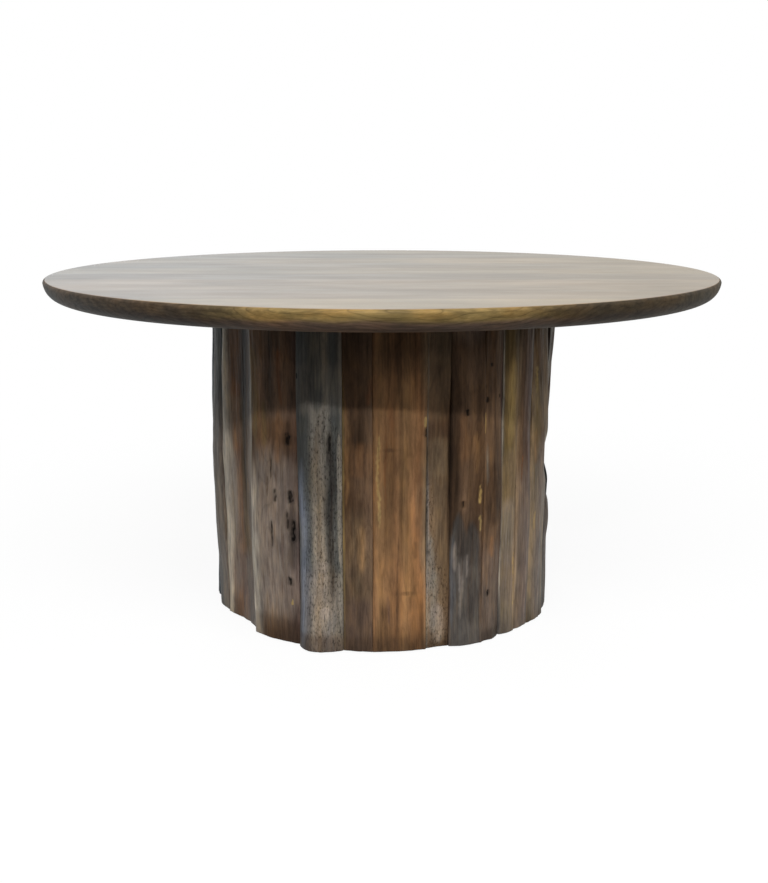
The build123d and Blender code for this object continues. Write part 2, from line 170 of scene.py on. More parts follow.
floor_mesh = bmesh.new()
bmesh.ops.create_grid(floor_mesh, x_segments=1, y_segments=24, size=1)
for vertex in floor_mesh.verts:
    along = (vertex.co.y + 1) / 2
    turn = max(0.0, along - FLAT_SHARE) / COVE_SHARE * pi / 2
    run = min(along, FLAT_SHARE) / FLAT_SHARE * FLOOR_DEPTH + FLOOR_NEAR
    rise = COVE_RADIUS * (1 - cos(turn))
    vertex.co = (vertex.co.x * FLOOR_HALF_WIDTH, run + COVE_RADIUS * sin(turn), rise)
floor_data = bpy.data.meshes.new("studio_floor")
floor_mesh.to_mesh(floor_data)
floor_mesh.free()
floor_data.shade_smooth()
studio_floor = bpy.data.objects.new("studio_floor", floor_data)
bpy.context.scene.collection.objects.link(studio_floor)

floor_paint, tree, shader = new_material("floor_paint", Roughness=0.9, Specular_IOR_Level=0.1)
plain = plain_view(tree)
tree.links.new(blend(tree, plain, srgb(92, 91, 90), srgb(250, 250, 250)), shader.inputs["Base Color"])
place = node(tree, "TexCoord").outputs["Object"]
beyond = node(tree, "VectorMath", {0: place}, operation="LENGTH").outputs["Value"]
beyond = node(tree, "MapRange", {0: beyond, 1: 0.5, 2: 2.2, 3: 0.9, 4: 1.0}).outputs[0]
place = node(tree, "SeparateXYZ", {0: place}).outputs
side = node(tree, "MapRange", {0: place[0], 1: -2.5, 2: 2.5}).outputs[0]
depth = node(tree, "MapRange", {0: place[1], 1: -2.5, 2: -0.2, 3: 0.2, 4: 1.0}).outputs[0]
warmth = blend(tree, side, (0.88, 0.96, 1.0, 1.0), (0.83, 0.82, 0.745, 1.0))
warmth = blend(tree, 1.0, warmth, depth, "MULTIPLY")
mirrored = node(tree, "LightPath").outputs["Is Glossy Ray"]
white = node(tree, "Emission", {"Color": blend(tree, mirrored, (1, 1, 1, 1), warmth), "Strength": 1.0})
amount = calculate(tree, "MULTIPLY", plain, beyond)
both = node(tree, "MixShader", {0: amount, 1: shader.outputs[0], 2: white.outputs[0]})
tree.links.new(both.outputs[0], tree.nodes["Material Output"].inputs["Surface"])
floor_data.materials.append(floor_paint)
print("floor", len(floor_data.polygons), "faces")

# %% [markdown]
# Light comes from a broad soft panel above and in front, a small lower lamp that reaches under
# the top and draws the edge of its shadow on the staves, fainter panels at the side and the
# back, and the room itself. Lamps alone would leave the glossy top black, so the world is white
# for reflections and dimmer as a lamp. The smaller a lamp, the sharper its shadow's edge.

# %% Lamps and world


def panel(name, place, target, width, height, watts):
    """A rectangular lamp that faces a target."""
    lamp = bpy.data.lights.new(name, "AREA")
    lamp.shape, lamp.size, lamp.size_y, lamp.energy = "RECTANGLE", width, height, watts
    holder = bpy.data.objects.new(name, lamp)
    holder.location = place
    aim = Vector(target) - Vector(place)
    holder.rotation_euler = aim.to_track_quat("-Z", "Y").to_euler()
    bpy.context.scene.collection.objects.link(holder)
    return holder


panel("low_lamp", (-0.3, -4.9, 3.3), (0, 0, 0.4), 1.2, 0.12, 114)
panel("front_panel", (0, -3.6, 4.2), (0, 0, 0.3), 3.0, 1.4, 185)
panel("side_lamp", (3.6, -2.6, 1.85), (0.3, -0.3, 0.5), 1.4, 0.8, 42).visible_glossy = False
panel("back_lamp", (-0.8, 4.4, 2.2), (0, 0, 0.4), 2.4, 1.0, 80).visible_glossy = False

world = bpy.data.worlds.new("studio_air")
bpy.context.scene.world = world
world.use_nodes = True
tree = world.node_tree
background = tree.nodes["Background"]
rays = node(tree, "LightPath").outputs
mirrored = calculate(tree, "ADD", rays["Is Glossy Ray"], rays["Is Transmission Ray"], clamp=True)
direction = node(tree, "SeparateXYZ", {0: node(tree, "TexCoord").outputs["Generated"]}).outputs
room = node(tree, "MapRange", {0: direction[1], 1: -0.7, 2: 0.1, 3: 0.2, 4: 1.0}).outputs[0]
strength = node(tree, "Mix", {0: mirrored, 2: 0.3, 3: room}).outputs[0]
strength = node(tree, "Mix", {0: rays["Is Camera Ray"], 2: strength, 3: 1.0}).outputs[0]
tree.links.new(strength, background.inputs["Strength"])
background.inputs["Color"].default_value = (1, 1, 1, 1)
bpy.context.scene.view_settings.view_transform = "Standard"

# %% [markdown]
# Waves: a wany board is never straight. A handful of sine waves with random directions and
# phases makes a smooth, repeatable unevenness, cheap enough for hundreds of thousands of
# points. A noise texture would do as well, but not on plain arrays of numbers.

# %% Helpers for uneven surfaces


def ripple(seed, across, along, across_scale, along_scale, waves=10):
    """A smooth uneven field, about -1 to 1, with its own scale across and along the grain."""
    dice = np.random.default_rng(seed)
    total = np.zeros_like(across)
    for _ in range(waves):
        steer = dice.uniform(0, 2 * pi)
        size = dice.uniform(0.6, 1.6)
        phase = dice.uniform(0, 2 * pi)
        total += np.cos(
            2 * pi * size * (across * cos(steer) / across_scale + along * sin(steer) / along_scale) + phase
        )
    return total / sqrt(waves)


def soft_step(low, high, value):
    """0 below low, 1 above high and smooth between."""
    t = np.clip((value - low) / (high - low), 0, 1)
    return t * t * (3 - 2 * t)


def mesh_object(name, shape, material, stands_for):
    """Make a finished bmesh an object that rides with the table and replaces CAD nodes."""
    data = bpy.data.meshes.new(name)
    shape.to_mesh(data)
    shape.free()
    data.materials.append(material)
    piece = bpy.data.objects.new(name, data)
    bpy.context.scene.collection.objects.link(piece)
    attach(piece, "table")
    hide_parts(stands_for)
    return piece


def paint(data, name, values):
    """Store one colour per vertex, which the material reads as an attribute."""
    layer = data.attributes.new(name, "FLOAT_COLOR", "POINT")
    layer.data.foreach_set("color", np.ascontiguousarray(values, dtype=np.float32).ravel())


def level(data, name, values):
    """Store one number per vertex."""
    layer = data.attributes.new(name, "FLOAT", "POINT")
    layer.data.foreach_set("value", np.ascontiguousarray(values, dtype=np.float32).ravel())


print("helpers for surfaces ready")

# %% [markdown]
# The wood of the staves. Colour comes in two layers: broad stains painted per vertex further
# down, with painted highlights and painted shade among them, and the fibres, pores and fine
# checks of the wood, drawn out along the height, from noise here. A plain wood texture repeats
# its rings, which weathered boards don't show.

# %% Stave wood


def stave_wood(name, fibre_depth, fleck_depth, fleck_stretch, roughness):
    """Weathered board: painted stain with painted highlights and painted shade in it, fibres along Z, fine
    checks, uneven sheen.
    """
    material, tree, shader = new_material(name, Specular_IOR_Level=0.05)
    stain = node(tree, "Attribute", attribute_name="stain").outputs["Color"]
    board = node(tree, "Attribute", attribute_name="board").outputs["Fac"]
    place = node(tree, "TexCoord").outputs["Object"]
    shift = node(tree, "CombineXYZ", {2: board}).outputs[0]
    place = node(tree, "VectorMath", {0: place, 1: shift}, operation="ADD").outputs[0]
    fibres = stretched_noise(tree, place, (1, 1, 0.025), 420, 4.0, 0.6)
    figure = stretched_noise(tree, place, (1, 1, 0.11), 8, 2.0, 0.45)
    rings = calculate(tree, "FRACT", calculate(tree, "MULTIPLY", figure, 24.0))
    bands = stretched_noise(tree, place, (1, 1, 0.05), 70, 3.0, 0.55)
    mottle = stretched_noise(tree, place, (1, 1, 0.3), 60, 6.0, 0.68)
    pores = stretched_noise(tree, place, (1, 1, fleck_stretch), 330, 3.0, 0.6)

    colour = shaded(tree, stain, fibres, [(0.3, 1 - fibre_depth), (0.7, 1 + fibre_depth * 0.6)])
    ring_stops = [(0.0, 0.95), (0.5, 1.03), (0.8, 0.99), (0.94, 0.8), (1.0, 0.95)]
    colour = shaded(tree, colour, rings, ring_stops)
    colour = shaded(tree, colour, bands, [(0.3, 0.88), (0.5, 1.0), (0.7, 1.07)])
    cool, warm = (0.77, 0.77, 0.79, 1), (1.16, 1.13, 1.05, 1)
    colour = shaded(tree, colour, mottle, [(0.36, cool), (0.5, 0.99), (0.64, warm)])
    patches = stretched_noise(tree, place, (1, 1, 0.22), 16, 4.0, 0.6)
    cool, warm = (0.77, 0.8, 0.83, 1), (1.2, 1.14, 1.03, 1)
    colour = shaded(tree, colour, patches, [(0.34, cool), (0.5, 1.0), (0.64, warm)])
    tone = ramp(tree, pores, [(0.33, 1 - fleck_depth), (0.46, 1.0), (0.6, 1 + fleck_depth * 0.3)])
    flecked = node(tree, "Attribute", attribute_name="fleck").outputs["Fac"]
    colour = blend(tree, flecked, colour, tone, "MULTIPLY")
    tree.links.new(colour, shader.inputs["Base Color"])

    sheen = ramp(tree, bands, [(0.3, roughness + 0.14), (0.7, roughness - 0.06)])
    tree.links.new(sheen, shader.inputs["Roughness"])
    grooves = calculate(tree, "MULTIPLY", pores, 0.6)
    relief = calculate(tree, "ADD", fibres, grooves)
    relief = calculate(tree, "ADD", relief, calculate(tree, "MULTIPLY", mottle, 0.8))
    bump(tree, shader, relief, 0.0012, 0.6)
    return material


WOODS = {
    "brown": stave_wood("stave_brown", 0.1, 0.2, 0.09, 0.36),
    "grey": stave_wood("stave_grey", 0.16, 0.6, 0.4, 0.46),
    "dark": stave_wood("stave_dark", 0.11, 0.22, 0.1, 0.38),
    "gold": stave_wood("stave_gold", 0.1, 0.18, 0.07, 0.36),
}
print("stave woods:", sorted(WOODS))

# %% [markdown]
# Each stave has a width, a face that stands out from the drum's mean radius by so much at its
# left, crown and right, a slow sway along its height, and a tone. The rows follow the CAD's.
# Widths and the first seam are in degrees, and the rest is in millimetres.

# %% The staves, one row each
Stave = namedtuple("Stave", "width left crown right crown_at sway proud_at wave tone")
FIRST_SEAM = -68.0
MEAN_RADIUS = 395
STAVES = [
    Stave(23.0, -11, -25, -8, 0.55, 3.0, 420, 700, "brown"),
    Stave(19.2, 2, 6, 5, 0.50, 3.0, 250, 560, "brown"),
    Stave(14.2, 6, 31, 7, 0.40, 4.0, 520, 640, "grey"),
    Stave(8.9, 7, 8, 9, 0.50, 2.0, 330, 480, "dark"),
    Stave(16.2, 6, 3, -1, 0.45, 3.0, 600, 620, "gold"),
    Stave(7.5, -1, -4, -2, 0.60, 2.0, 180, 500, "grey"),
    Stave(10.6, 0, 9, 11, 0.45, 2.5, 470, 560, "dark"),
    Stave(8.4, 12, 10, -2, 0.45, 2.5, 300, 520, "brown"),
    Stave(6.6, -3, 1, 1, 0.55, 2.0, 560, 600, "gold"),
    Stave(7.9, 1, 3, 1, 0.50, 2.0, 220, 480, "brown"),
    Stave(12.0, 0, 5, 4, 0.45, 3.0, 400, 560, "brown"),
    Stave(16.5, -2, -5, -9, 0.30, 4.5, 0, 760, "dark"),
    Stave(14.0, -10, -9, -6, 0.55, 4.0, 600, 520, "brown"),
    Stave(19.0, 4, -9, -2, 0.45, 4.0, 300, 620, "grey"),
    Stave(12.5, -1, 12, 3, 0.60, 3.5, 150, 480, "gold"),
    Stave(17.0, 2, 4, -7, 0.40, 5.0, 430, 560, "dark"),
    Stave(15.0, -5, -14, 2, 0.50, 3.0, 250, 640, "brown"),
    Stave(20.0, 3, 10, 5, 0.45, 4.5, 600, 600, "grey"),
    Stave(11.5, 4, -4, -2, 0.50, 3.0, 330, 460, "gold"),
    Stave(18.0, -3, 14, 1, 0.55, 4.0, 200, 540, "brown"),
    Stave(14.5, 0, -6, 3, 0.40, 5.0, 500, 500, "dark"),
    Stave(21.0, 4, 7, -5, 0.50, 3.5, 380, 680, "gold"),
    Stave(13.5, -2, 11, 4, 0.45, 4.0, 140, 520, "brown"),
    Stave(16.5, 3, -3, -9, 0.60, 3.0, 450, 560, "grey"),
    Stave(16.5, -9, -5, -14, 0.50, 4.5, 325, 640, "dark"),
]
seams = [FIRST_SEAM]
for row in STAVES:
    seams.append(seams[-1] + row.width)
print(len(STAVES), "staves, last seam at", round(seams[-1], 1))

# %% [markdown]
# The stains of each stave: colours laid across its width, from the left seam to the right,
# and marks. A mark is a long soft spot with its middle across the width (0 to 1), its lower
# and upper end in millimetres, its half width, a colour or none, how strongly it covers, and
# how deep it is cut or, below zero, how far it stands proud. Knots, checks, pale streaks and
# wany hollows are all marks, and the word fleck in place of a colour opens the wood's pores
# there. Some colours and marks are painted light: the palest down rounded arrises and corners
# are painted highlights, the darkest brown over the upper part of a stave is painted shade
# under the top, and dark marks at the foot are painted shade near the floor. The marks could
# be a painted image, but numbers in a list stay sharp at any distance and can be moved one
# by one.

# %% Stains, marks, painted highlights and painted shade
Mark = namedtuple("Mark", "across low high half_width colour cover depth", defaults=[0])
SHADES = {
    "earth": srgb(104, 82, 64),
    "umber": srgb(76, 58, 44),
    "soot": srgb(44, 36, 31),
    "black": srgb(14, 11, 9),
    "mauve": srgb(130, 119, 112),
    "slate": srgb(82, 82, 79),
    "steel": srgb(106, 110, 117),
    "stone": srgb(128, 121, 111),
    "ash": srgb(150, 138, 128),
    "tan": srgb(134, 114, 90),
    "honey": srgb(140, 107, 74),
    "amber": srgb(132, 96, 66),
    "rust": srgb(122, 80, 52),
    "khaki": srgb(118, 100, 66),
    "straw": srgb(176, 150, 98),
    "wine": srgb(86, 68, 62),
    # Painted highlight: the pale light down rounded arrises and corners.
    "painted_glint": srgb(214, 202, 184),
    # Painted highlight: cool pale light on a flank that faces away from the lamps.
    "painted_cool_highlight": srgb(158, 164, 178),
    # Painted shade: the dark brown of a stave's upper part in the shadow of the top.
    "painted_shade_brown": srgb(58, 40, 25),
    "iron": srgb(88, 83, 78),
}
BANDS = {
    # Row 1's pale left end is a painted highlight on the rounded left corner, its ash right end a painted
    # highlight on the right arris, and its soot painted shade in the valley.
    1: [
        (0.0, "stone"), (0.2, "ash"), (0.32, "amber"), (0.52, "rust"), (0.64, "soot"),
        (0.76, "umber"), (0.88, "mauve"), (1.0, "ash"),
    ],
    2: [(0.0, "mauve"), (0.1, "earth"), (0.5, "earth"), (0.66, "earth"), (1.0, "wine")],
    3: [
        (0.0, "slate"), (0.38, "slate"), (0.5, "stone"), (0.66, "stone"),
        (0.76, "slate"), (0.9, "slate"), (1.0, "stone"),
    ],
    4: [(0.0, "khaki"), (0.08, "umber"), (0.6, "umber"), (0.85, "earth"), (1.0, "earth")],
    5: [(0.0, "amber"), (0.12, "honey"), (0.4, "amber"), (0.6, "honey"), (0.85, "amber"), (1.0, "tan")],
    6: [(0.0, "stone"), (0.12, "earth"), (0.5, "umber"), (1.0, "umber")],
    7: [(0.0, "umber"), (0.12, "umber"), (0.5, "earth"), (0.85, "umber"), (1.0, "earth")],
    8: [(0.0, "earth"), (0.4, "earth"), (0.8, "earth"), (1.0, "wine")],
    9: [(0.0, "slate"), (0.2, "khaki"), (0.6, "khaki"), (1.0, "tan")],
    10: [(0.0, "tan"), (0.3, "earth"), (0.7, "wine"), (1.0, "mauve")],
    11: [(0.0, "tan"), (0.2, "khaki"), (0.5, "earth"), (0.8, "tan"), (1.0, "mauve")],
    12: [(0.0, "soot"), (0.4, "umber"), (1.0, "soot")],
    25: [(0.0, "soot"), (0.5, "umber"), (0.8, "slate"), (1.0, "soot")],
}
REST = {
    "brown": [(0.0, "umber"), (0.3, "earth"), (0.7, "earth"), (1.0, "wine")],
    "grey": [(0.0, "slate"), (0.35, "stone"), (0.7, "slate"), (1.0, "steel")],
    "dark": [(0.0, "soot"), (0.4, "umber"), (0.7, "wine"), (1.0, "soot")],
    "gold": [(0.0, "khaki"), (0.35, "honey"), (0.7, "amber"), (1.0, "tan")],
}
MARKS = {
    1: [
        Mark(0.30, 36, 423, 26, "ash", 0.7),
        Mark(0.66, 54, 431, 30, "tan", 0.6),
        Mark(0.90, -60, 406, 22, "ash", 0.5),
        # Painted shade under the top, over the upper part of the stave.
        Mark(0.46, 530, 840, 48, "painted_shade_brown", 0.8),
        Mark(0.36, 380, 800, 26, "amber", 0.5),
        Mark(0.50, 400, 520, 60, "tan", 0.35),
        # Painted shade in the valley of the flute, over a groove 1 mm deep.
        Mark(0.67, 230, 800, 10, "soot", 0.7, 1.0),
        Mark(0.60, 83, 120, 2.5, "black", 0.9, 1.5),
        Mark(0.28, 126, 328, 5, "earth", 0.6, 0.8),
        Mark(0.66, -60, 175, 45, "mauve", 0.7),
        # Painted highlights, to the end of this list: broad light on the rounded left corner, and light
        # down the right arris.
        Mark(0.14, 130, 560, 26, "painted_glint", 0.5),
        Mark(0.93, 130, 560, 12, "ash", 0.5),
        Mark(0.08, -60, 780, 11, "painted_glint", 0.75),
        Mark(0.15, -60, 780, 8, "painted_glint", 0.6, -1.0),
        Mark(0.97, -60, 780, 7, "painted_glint", 0.72),
    ],
    2: [
        Mark(0.45, 400, 640, 80, "amber", 0.3),
        Mark(0.12, 440, 640, 16, "khaki", 0.5),
        Mark(0.50, 480, 620, 90, "ash", 0.15),
        Mark(0.45, 32, 440, 90, "ash", 0.66),
        # Painted highlight down the rounded left arris, broad in the lower part.
        Mark(0.10, -60, 380, 17, "painted_glint", 0.6),
        Mark(0.02, -60, 780, 4, "painted_glint", 0.7),
        Mark(0.24, 412, 598, 18, "amber", 0.5),
        Mark(0.16, 421, 563, 9, "khaki", 0.5),
        Mark(0.36, 421, 528, 9, "khaki", 0.55),
        Mark(0.48, 501, 740, 6, "soot", 0.6, 0.6),
        Mark(0.90, 492, 740, 14, "soot", 0.45),
        Mark(0.69, 510, 641, 6, "rust", 0.6),
        Mark(0.62, 385, 515, 9, "amber", 0.55),
        Mark(0.83, 407, 489, 11, "umber", 0.6),
        Mark(0.83, 434, 462, 6.5, "black", 1.0, 3.5),
        Mark(0.51, 360, 405, 1.8, "black", 0.8, 1.5),
        Mark(0.42, 318, 367, 3.0, "umber", 0.7, 0.6),
        Mark(0.60, 309, 340, 2.2, "black", 0.6, 1.0),
        Mark(0.52, 207, 271, 2.0, "black", 0.9, 2.0),
        Mark(0.80, 253, 294, 3.0, "black", 0.8, 2.0),
        Mark(0.87, 310, 341, 6.0, "black", 0.9, 4.0),
        Mark(0.90, 155, 321, 10.0, "soot", 0.6, 3.0),
        Mark(0.90, 226, 278, 5.5, "black", 0.92, 4.0),
        Mark(0.72, 155, 248, 4.0, "wine", 0.5, 0.5),
        Mark(0.84, 131, 152, 3.5, "black", 0.85, 2.0),
        Mark(0.86, 88, 103, 2.0, "straw", 0.8, -0.5),
        # Painted shade at the foot, near the floor.
        Mark(0.50, -60, 60, 90, "umber", 0.5),
    ],
    3: [
        Mark(0.50, 500, 620, 60, "stone", 0.5),
        Mark(0.55, 508, 800, 14, "slate", 0.8),
        Mark(0.70, 526, 643, 6, "stone", 0.4),
        Mark(0.50, -60, 189, 70, "ash", 0.45),
        Mark(0.57, -40, 512, 10, "tan", 0.5, -1.8),
        # Painted highlight: cool pale light down the left flank.
        Mark(0.17, -20, 415, 13, "painted_cool_highlight", 0.55, -0.8),
        Mark(0.17, 240, 360, 9, "painted_cool_highlight", 0.6),
        Mark(0.68, -80, 544, 46, "fleck", 1.0),
        Mark(0.79, 101, 498, 8, "soot", 0.72, 2.5),
        Mark(0.79, 429, 471, 3, "black", 0.8, 1.5),
        Mark(0.95, 179, 480, 4.5, "stone", 0.85, -1.0),
        Mark(0.62, 175, 202, 9, "ash", 0.5, -0.6),
        Mark(0.68, 74, 101, 7, "ash", 0.8, -0.8),
        Mark(0.06, 578, 591, 2, "black", 0.9, 1.5),
        # Painted highlight: a thin line of light down the left arris.
        Mark(0.01, 416, 780, 1.6, "ash", 0.8),
        # Painted shade at the foot, near the floor.
        Mark(0.50, -60, 45, 90, "umber", 0.55),
    ],
    4: [
        # Painted shade under the top, over the upper part of the stave.
        Mark(0.55, 629, 800, 40, "soot", 0.2),
        Mark(0.13, 317, 534, 6, "honey", 0.65),
        Mark(0.04, 98, 534, 1.8, "khaki", 0.8),
        Mark(0.88, 526, 587, 5, "rust", 0.6),
        Mark(0.60, 327, 447, 14, "earth", 0.6),
        Mark(0.50, 470, 800, 60, "earth", 0.25),
        Mark(0.60, 375, 455, 26, "amber", 0.4),
        Mark(0.42, 383, 502, 3, "soot", 0.5, 0.5),
        Mark(0.76, 364, 475, 2.5, "soot", 0.45, 0.5),
        Mark(0.66, 175, 280, 9, "honey", 0.65),
        Mark(0.40, 194, 336, 3, "soot", 0.5, 0.5),
        Mark(0.55, 127, 289, 2, "soot", 0.5, 0.5),
        Mark(0.50, -40, 317, 44, "tan", 0.3),
        Mark(0.55, -20, 127, 40, "wine", 0.5),
        # Painted shade at the foot, near the floor.
        Mark(0.50, -60, 36, 90, "umber", 0.5),
    ],
    5: [
        # Painted shade under the top, over the upper part of the stave.
        Mark(0.50, 574, 800, 70, "umber", 0.5),
        Mark(0.46, 529, 740, 6, "soot", 0.55, 0.6),
        # Painted shade under the top as well.
        Mark(0.60, 619, 800, 90, "painted_shade_brown", 0.1),
        Mark(0.08, 457, 610, 6, "amber", 0.6),
        Mark(0.10, 261, 475, 4, "straw", 0.6),
        Mark(0.23, 290, 502, 1.8, "rust", 0.6, 0.5),
        Mark(0.45, -20, 261, 1.8, "umber", 0.6, 0.6),
        Mark(0.30, 431, 440, 14, "umber", 0.45, 0.3),
        Mark(0.36, 475, 526, 5, "rust", 0.5, 0.3),
        Mark(0.22, -40, 118, 20, "umber", 0.5),
        Mark(0.72, 11, 126, 18, "amber", 0.5),
        Mark(0.64, 124, 133, 16, "umber", 0.5, 0.4),
        Mark(0.78, 200, 241, 6, "umber", 0.45, 0.5),
        Mark(0.88, 223, 402, 9, "rust", 0.4),
        Mark(0.30, 60, 128, 3, "wine", 0.5, 0.6),
        Mark(0.99, 460, 480, 3, "black", 0.9, 2.0),
        Mark(0.97, 480, 504, 3, "straw", 0.8),
        # Painted shade at the foot, near the floor.
        Mark(0.50, -60, 40, 90, "umber", 0.45),
    ],
    6: [
        Mark(0.50, 490, 800, 40, "tan", 0.45),
        Mark(0.50, 370, 460, 30, "tan", 0.4),
        Mark(0.50, 640, 840, 40, "tan", 0.3),
        Mark(0.45, -20, 472, 32, "tan", 0.45),
        Mark(0.50, 500, 620, 30, "umber", 0.4),
        Mark(0.06, 93, 416, 3, "ash", 0.75, 0.6),
        Mark(0.03, 190, 453, 1.5, "black", 0.5, 1.0),
        Mark(0.18, 122, 257, 7, "stone", 0.75, -1.0),
        Mark(0.34, 34, 180, 9, "stone", 0.75, -1.0),
        Mark(0.50, 10, 103, 12, "ash", 0.6, -1.0),
        Mark(0.96, 170, 526, 2.5, "soot", 0.7, 3.0),
        Mark(0.15, -80, 379, 14, "fleck", 1.0),
        Mark(0.50, -80, 199, 26, "fleck", 1.0),
    ],
    7: [
        Mark(0.50, 559, 800, 50, "earth", 0.6),
        Mark(0.50, 640, 840, 50, "ash", 0.25),
        Mark(0.50, -60, 60, 60, "ash", 0.3),
        Mark(0.01, 114, 527, 1.8, "soot", 0.7, 3.0),
        Mark(0.35, 401, 511, 12, "amber", 0.45),
        Mark(0.70, 373, 467, 9, "honey", 0.4),
        Mark(0.26, -80, 306, 20, "iron", 0.85),
        Mark(0.66, -80, 282, 22, "iron", 0.85),
        Mark(0.34, 190, 306, 14, "soot", 0.55, 1.0),
        Mark(0.66, 170, 276, 16, "soot", 0.5, 0.6),
        Mark(0.62, 40, 170, 9, "soot", 0.35, 0.6),
        Mark(0.08, 40, 250, 5, "steel", 0.35),
        Mark(0.16, 165, 235, 4, "ash", 0.5, -0.5),
        Mark(0.28, 120, 190, 3, "ash", 0.45),
        Mark(0.48, 150, 205, 3, "ash", 0.45),
        Mark(0.35, 60, 165, 3, "ash", 0.35),
        Mark(0.42, 500, 515, 2.5, "black", 0.95, 1.5),
        Mark(0.37, 305, 322, 3, "black", 0.8, 1.2),
        Mark(0.92, 307, 354, 3.5, "straw", 0.7),
        Mark(0.92, 248, 288, 3, "straw", 0.7),
    ],
    8: [
        # Painted shade under the top, over the upper part of the stave.
        Mark(0.50, 516, 800, 60, "painted_shade_brown", 0.5),
        Mark(0.30, 365, 502, 9, "honey", 0.45),
        Mark(0.50, 250, 400, 34, "umber", 0.75),
        Mark(0.55, 255, 370, 24, "soot", 0.35),
        Mark(0.50, -28, 230, 40, "mauve", 0.3),
        Mark(0.50, -28, 150, 40, "iron", 0.3),
        # Painted shade at the foot, near the floor.
        Mark(0.50, -80, 32, 60, "soot", 0.5),
        Mark(0.12, 346, 441, 4, "stone", 0.5),
        Mark(0.03, 458, 504, 1.6, "straw", 0.9),
        Mark(0.34, 597, 606, 2.0, "black", 1.0, 1.5),
        Mark(0.02, 553, 562, 2.0, "black", 1.0, 1.5),
        Mark(0.75, 529, 538, 2.0, "black", 1.0, 1.5),
        Mark(0.13, 523, 536, 2.2, "black", 1.0, 1.5),
        Mark(0.36, 187, 238, 5, "amber", 0.7),
        Mark(0.26, 102, 118, 2.4, "black", 1.0, 1.5),
    ],
    9: [
        Mark(0.50, 415, 605, 20, "honey", 0.45),
        Mark(0.50, 423, 614, 11, "straw", 0.7),
        Mark(0.50, 270, 420, 30, "tan", 0.6),
        Mark(0.50, 150, 310, 30, "ash", 0.5),
        Mark(0.50, 60, 200, 30, "wine", 0.3),
        Mark(0.50, -60, 190, 30, "mauve", 0.5),
        # Painted shade under the top, over the upper part of the stave.
        Mark(0.50, 560, 840, 60, "painted_shade_brown", 0.38),
        Mark(0.60, 299, 415, 6, "tan", 0.6),
        Mark(0.90, 53, 191, 4, "straw", 0.5),
        # Painted highlight: a thin line of light down the left arris.
        Mark(0.03, 60, 780, 1.8, "painted_glint", 0.55),
    ],
    10: [
        Mark(0.50, -60, 387, 40, "ash", 0.35),
        Mark(0.37, 333, 396, 1.8, "rust", 0.9, 1.0),
        Mark(0.80, -60, 740, 5, "mauve", 0.6, -1.5),
    ],
    11: [
        Mark(0.50, -20, 430, 60, "ash", 0.55),
        Mark(0.50, 430, 552, 34, "tan", 0.5),
        # Painted shade under the top, over the upper part of the stave.
        Mark(0.50, 518, 840, 80, "painted_shade_brown", 0.65),
        Mark(0.30, 560, 840, 20, "rust", 0.3),
        Mark(0.20, 360, 448, 7, "honey", 0.5),
        Mark(0.20, 518, 586, 6, "straw", 0.4),
        Mark(0.25, 208, 262, 5, "straw", 0.5),
        Mark(0.60, -60, 465, 6, "ash", 0.5, -1.5),
        # Painted highlight: a thin line of light down the right arris.
        Mark(0.975, -60, 780, 2.4, "painted_glint", 0.72),
        Mark(1.00, 305, 435, 18, None, 0, 9.0),
    ],
    12: [
        Mark(0.50, 180, 620, 200, None, 0, 6.0),
        Mark(0.50, 305, 430, 200, None, 0, 11.0),
        Mark(0.50, 240, 380, 200, None, 0, 6.0),
        Mark(0.50, -200, 240, 200, None, 0, 4.0),
        Mark(0.50, 150, 300, 200, None, 0, -5.0),
        Mark(0.50, 460, 900, 200, None, 0, -4.0),
    ],
    13: [
        Mark(0.30, 270, 440, 120, None, 0, 14.0),
        Mark(0.20, -200, 300, 90, None, 0, 8.0),
    ],
    14: [
        Mark(0.00, 260, 430, 70, None, 0, 15.0),
        Mark(0.00, -200, 300, 60, None, 0, 7.0),
    ],
    25: [
        Mark(0.85, -60, 520, 34, "ash", 0.6),
    ],
}
UNFLECKED = {3: 0.1, 6: 0.1}
print(sum(len(m) for m in MARKS.values()), "marks")

# %% [markdown]
# A stave as a mesh. It starts as a fine flat grid, one side of the board, whose border is
# extruded for the four edges and filled for the back. Then every point of the grid goes to
# its place on the drum. A thick board pushed through Subdivision Surface would round its
# ends, and a sculpted one couldn't be repeated. The mesh is finest where a camera in front sees
# it. EASES holds the rounding of each stave's left and right arris, in millimetres.

# %% Make the staves
LOW, HIGH = 0.003, 0.718
BACK = 0.340
FINE_PITCH, COARSE_PITCH = 0.0017, 0.004
SEEDS_APART, GRAIN_APART = 7, 1.37
EASES = {
    1: (13.0, 4.0),
    2: (8.0, 2.5),
    3: (4.0, 4.0),
    4: (2.0, 2.0),
    5: (2.0, 2.0),
    6: (2.5, 2.5),
    7: (2.5, 2.0),
    8: (2.0, 3.0),
    9: (4.0, 2.5),
    10: (2.0, 3.0),
    11: (3.0, 7.0),
}


def stave_shape(row, pitch):
    """One stave: its bmesh with the grid's place across (x) and along (y), 0 to 1."""
    shape = bmesh.new()
    columns = max(8, round(radians(row.width) * (MEAN_RADIUS / 1000) / pitch))
    rows = round((HIGH - LOW) / pitch)
    bmesh.ops.create_grid(shape, x_segments=columns, y_segments=rows, size=0.5)
    rim = [edge for edge in shape.edges if edge.is_boundary]
    sides = bmesh.ops.extrude_edge_only(shape, edges=rim)["geom"]
    back = [part for part in sides if isinstance(part, bmesh.types.BMVert)]
    bmesh.ops.translate(shape, verts=back, vec=(0, 0, -1))
    loop = [part for part in sides if isinstance(part, bmesh.types.BMEdge) and part.is_boundary]
    bmesh.ops.contextual_create(shape, geom=loop)
    bmesh.ops.translate(shape, verts=shape.verts, vec=(0.5, 0.5, 0))
    return shape


